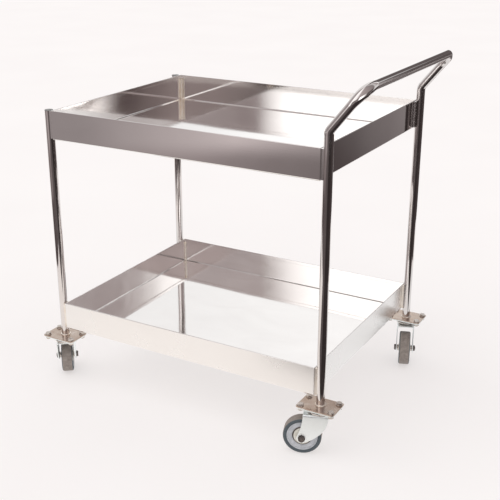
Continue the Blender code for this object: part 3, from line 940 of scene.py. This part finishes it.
def build_axle(corner, hub):
    """The axle bolt with its head and washer on one cheek, and the nut with its washer on the other."""
    body = f"caster_{corner}"
    cheek = 0.0245
    head_start = -cheek - WASHER_THICKNESS
    head = hexagon(AXLE_FLATS, head_start - 0.0040, head_start, crown_top=False, crown_bottom=True)
    add_solid(head, turned([(0, head_start - 0.001), (AXLE_RADIUS, head_start - 0.001), (AXLE_RADIUS, cheek),
                            (0, cheek)], 40))
    tip = threaded(AXLE_RADIUS, -cheek - 0.0065, -cheek)
    tip.transform(Matrix.Rotation(math.radians(180), 4, "X"))
    add_solid(head, tip)
    piece(f"axle_pin_{corner}", head, "axle_steel", body, [f"axle_bolt_{corner}"], hub)
    nut = hexagon(AXLE_FLATS, cheek + WASHER_THICKNESS, cheek + WASHER_THICKNESS + 0.0042, bore=AXLE_RADIUS)
    piece(f"axle_lock_nut_{corner}", nut, "axle_steel", body, [f"axle_nut_{corner}"], hub)
    washers = washer(AXLE_RADIUS, 0.0090, cheek, cheek + WASHER_THICKNESS)
    add_solid(washers, washer(AXLE_RADIUS, 0.0090, -cheek - WASHER_THICKNESS, -cheek))
    piece(f"axle_washers_{corner}", washers, "axle_steel", body, place=hub)


def build_casters():
    for corner in CORNERS:
        centre = JOINT_PLACE[f"swivel_{corner}"]
        axle = JOINT_PLACE[f"roll_{corner}"]
        offset = Vector((axle.x - centre.x, axle.y - centre.y))
        yaw = Matrix.Rotation(math.atan2(offset.y, offset.x), 4, "Z")
        place = Matrix.Translation((centre.x, centre.y, 0)) @ yaw
        hub = Matrix.Translation(axle) @ yaw @ Matrix.Rotation(math.radians(-90), 4, "X")
        build_plates(corner, centre)
        build_plate_bolts(corner)
        build_fork(corner, place, offset.length, axle.z)
        build_wheel(corner, hub)
        build_axle(corner, hub)


# ---------------------------------------------------------------- stage, light and camera


def stage_object(name, bm, material):
    mesh = bpy.data.meshes.new(name)
    bm.to_mesh(mesh)
    bm.free()
    mesh.shade_smooth()
    mesh.materials.append(material)
    obj = bpy.data.objects.new(name, mesh)
    bpy.context.scene.collection.objects.link(obj)
    return obj


def build_floor():
    """A plain pale floor, lit a little from within like a light table so that shadows stay soft."""
    finish = Finish("floor_paper")
    tone = finish.noise(1.5, detail=2.0)
    colour = finish.ramp(tone, [(0.3, (0.418, 0.4035, 0.4010)), (0.7, (0.425, 0.4115, 0.4085))])
    finish.set("Base Color", colour)
    finish.set("Emission Color", colour)
    finish.set("Emission Strength", FLOOR_GLOW)
    finish.set("Roughness", 1.0)
    finish.shader.inputs["Specular IOR Level"].default_value = 0.0
    bm = bmesh.new()
    bmesh.ops.create_grid(bm, x_segments=1, y_segments=1, size=FLOOR_SIZE)
    return stage_object("floor", bm, finish.material)


def grey(level, warmth=0.0):
    return (level, level * (1 - warmth), level * (1 - warmth))


def heading(degrees):
    """Where a heading, in degrees from +Y towards +X, lies on a radial gradient."""
    return ((90 - degrees) / 360 + 0.5) % 1.0


def glow(name, first, second, axis, start, end):
    """An emission finish whose level follows the heading, and fades from one set of levels to another.

    The fade runs along the object's height or along its reach from the middle, between start and end.
    """
    finish = Finish(name)
    radial = finish.node("ShaderNodeTexGradient", gradient_type="RADIAL")
    finish.feed(radial.inputs["Vector"], finish.place)
    colours = [
        finish.ramp(radial.outputs["Fac"], sorted((heading(degrees), colour) for degrees, colour in levels))
        for levels in (first, second)
    ]
    length = finish.node("ShaderNodeVectorMath", operation="LENGTH")
    finish.feed(length.inputs[0], finish.place)
    factor = finish.axis(2) if axis == "height" else length.outputs["Value"]
    light = finish.node("ShaderNodeEmission")
    finish.feed(light.inputs["Color"], finish.mixed(finish.between(factor, 0.0, 1.0, start, end), *colours))
    finish.feed(finish.tree.nodes["Material Output"].inputs["Surface"], light.outputs["Emission"])
    finish.tree.nodes.remove(finish.shader)
    return finish.material


def fan(start, end, inner, outer):
    """A flat ring sector between two headings, in shares of the room's radius."""
    bm = bmesh.new()
    steps = 48
    arcs = []
    for radius in (inner, outer):
        angles = [math.radians(start + (end - start) * i / steps) for i in range(steps + 1)]
        arcs.append([bm.verts.new((radius * math.sin(a), radius * math.cos(a), 0)) for a in angles])
    for i in range(steps):
        bm.faces.new((arcs[0][i], arcs[0][i + 1], arcs[1][i + 1], arcs[1][i]))
    return bm


def reflected(name, bm, material, height):
    """A reflector or flag as wide as the room: metal shows it, and it neither lights nor shades anything."""
    obj = stage_object(name, bm, material)
    obj.scale = (ROOM_RADIUS,) * 3
    obj.location.z = height
    obj.visible_camera = False
    obj.visible_diffuse = False
    obj.visible_shadow = False
    obj.visible_transmission = False
    obj.visible_volume_scatter = False


def build_reflected_room():
    """What polished metal sees of the studio: pale sweep behind, dim room in front, tall softboxes.

    The levels by heading were fitted to the reflections on the real cart. Only glossy rays see them.
    """
    low_walls = [
        (27.6, grey(0.12, 0.15)), (28.5, grey(0.56, 0.06)), (35, grey(0.56, 0.06)),
        (38, grey(0.90)), (60, grey(0.90)), (66, grey(0.14, 0.15)), (100, grey(0.12, 0.15)),
        (128, grey(2.4)), (138.6, grey(2.4)), (139.7, grey(0.11, 0.24)), (143.5, grey(0.13, 0.20)),
        (147, grey(0.31, 0.16)), (151, grey(0.31, 0.15)), (155, grey(0.22, 0.14)), (188, grey(0.25, 0.12)),
        (194, grey(1.6)), (208.3, grey(1.6)), (211.0, grey(0.29, 0.16)), (217, grey(0.38, 0.12)),
        (262, grey(0.40, 0.06)), (275, grey(1.00)), (318, grey(0.86)), (328, grey(1.00)), (336, grey(1.22)),
        (347, grey(1.15)), (353, grey(0.14, 0.15)),
    ]
    high_walls = [
        (17, grey(0.14, 0.15)), (21, grey(0.55)), (25, grey(0.80)), (26.5, grey(1.40)),
        (31.6, grey(1.40)), (33.2, grey(0.40, 0.13)), (42, grey(0.45, 0.10)), (60, grey(0.80)),
        (66, grey(0.30, 0.12)), (134, grey(0.48, 0.12)), (151, grey(0.56, 0.12)),
        (157, grey(0.50, 0.12)), (162, grey(1.2)), (194, grey(1.5)), (207.6, grey(1.5)),
        (209.8, grey(0.40, 0.14)), (217, grey(0.50, 0.10)), (262, grey(0.50, 0.06)), (275, grey(1.00)),
        (318, grey(0.95)), (332, grey(1.02)), (340, grey(1.08)),
        (347, grey(1.08)), (353, grey(0.14, 0.15)),
    ]
    bm = bmesh.new()
    bmesh.ops.create_uvsphere(bm, u_segments=64, v_segments=32, radius=1.0)
    bmesh.ops.delete(bm, geom=[v for v in bm.verts if v.co.z < ROOM_CUT], context="VERTS")
    walls = glow("reflected_walls", low_walls, high_walls, "height", *WALL_FADE)
    reflected("reflected_walls", bm, walls, ROOM_HEIGHT)
    right = [(5, grey(0.5)), (10, grey(0.14, 0.15)), (20, grey(0.16, 0.15)), (22, grey(0.26, 0.10)),
             (26, grey(0.19, 0.14)), (29, grey(0.14, 0.14)), (33, grey(0.075, 0.20)), (50, grey(0.07, 0.20))]
    side = [(50, grey(0.07, 0.20)), (75, grey(0.07, 0.20))]
    front = [(75, grey(0.07, 0.20)), (100, grey(0.04, 0.2)), (142, grey(0.04, 0.2)), (152, grey(0.12, 0.15)),
             (178, grey(0.13, 0.15))]
    left = [(178, grey(0.13, 0.15)), (200, grey(0.12, 0.18)), (262, grey(0.09, 0.20))]
    flags = {"right": (right, 5, 50, 0.29, 1.0), "side": (side, 50, 75, 0.215, 1.0),
             "front": (front, 75, 178, 0.12, 1.0), "left": (left, 178, 262, 0.225, 0.36)}
    for name, (levels, start, end, inner, outer) in flags.items():
        finish = glow(f"dark_floor_{name}", levels, levels, "reach", 0, 1)
        reflected(f"dark_floor_{name}", fan(start, end, inner, outer), finish, FLAG_HEIGHT)
    spread = [(178, 0.14), (188, 0.16), (201, 0.23), (205, 0.27), (210, 0.32), (217, 0.30), (222, 0.24),
              (262, 0.20)]
    near = [(degrees, grey(level, 0.15)) for degrees, level in spread]
    spread = [(178, 0.30), (196, 0.40), (200, 0.50), (205, 0.62), (209, 0.52), (214, 0.42), (220, 0.30),
              (262, 0.26)]
    far = [(degrees, grey(level, 0.12)) for degrees, level in spread]
    finish = glow("dim_floor", near, far, "reach", *FLOOR_FADE)
    reflected("dim_floor", fan(178, 262, 0.36, 1.0), finish, FLAG_HEIGHT)
    cream = (1.03, 0.985, 0.945)
    near = [(0, grey(0.92)), (80, grey(0.92)), (140, cream), (222, cream), (260, grey(0.98))]
    finish = glow("near_floor", near, near, "reach", 0, 1)
    reflected("near_floor", fan(0, 360, 0.0, 0.2), finish, NEAR_FLAG_HEIGHT)


def build_light():
    """Even light from all round, and one broad soft source from above on the left."""
    world = bpy.data.worlds.new("soft_light")
    bpy.context.scene.world = world
    world.use_nodes = True
    background = world.node_tree.nodes["Background"]
    background.inputs["Color"].default_value = SKY_COLOUR
    background.inputs["Strength"].default_value = SKY_STRENGTH
    lamp = bpy.data.lights.new("overhead", "SUN")
    lamp.energy = SUN_STRENGTH
    lamp.angle = math.radians(SUN_ANGLE)
    overhead = bpy.data.objects.new("overhead", lamp)
    bpy.context.scene.collection.objects.link(overhead)
    overhead.rotation_euler = (math.radians(18), math.radians(-24), 0)


def build_camera():
    """A long lens from the front right, looking down on the cart."""
    data = bpy.data.cameras.new("camera")
    camera = bpy.data.objects.new("camera", data)
    bpy.context.scene.collection.objects.link(camera)
    data.sensor_width = 36
    data.lens = CAMERA_LENS
    data.clip_end = 100
    camera.location = CAMERA_PLACE
    turns = (90 - CAMERA_DOWN, CAMERA_ROLL, CAMERA_HEADING)
    camera.rotation_euler = [math.radians(turn) for turn in turns]
    bpy.context.scene.camera = camera
    bpy.context.scene.view_settings.view_transform = "Standard"


for tray in TRAYS:
    build_tray(tray)
build_tubes()
build_leg_caps()
build_casters()
build_floor()
build_reflected_room()
build_light()
build_camera()
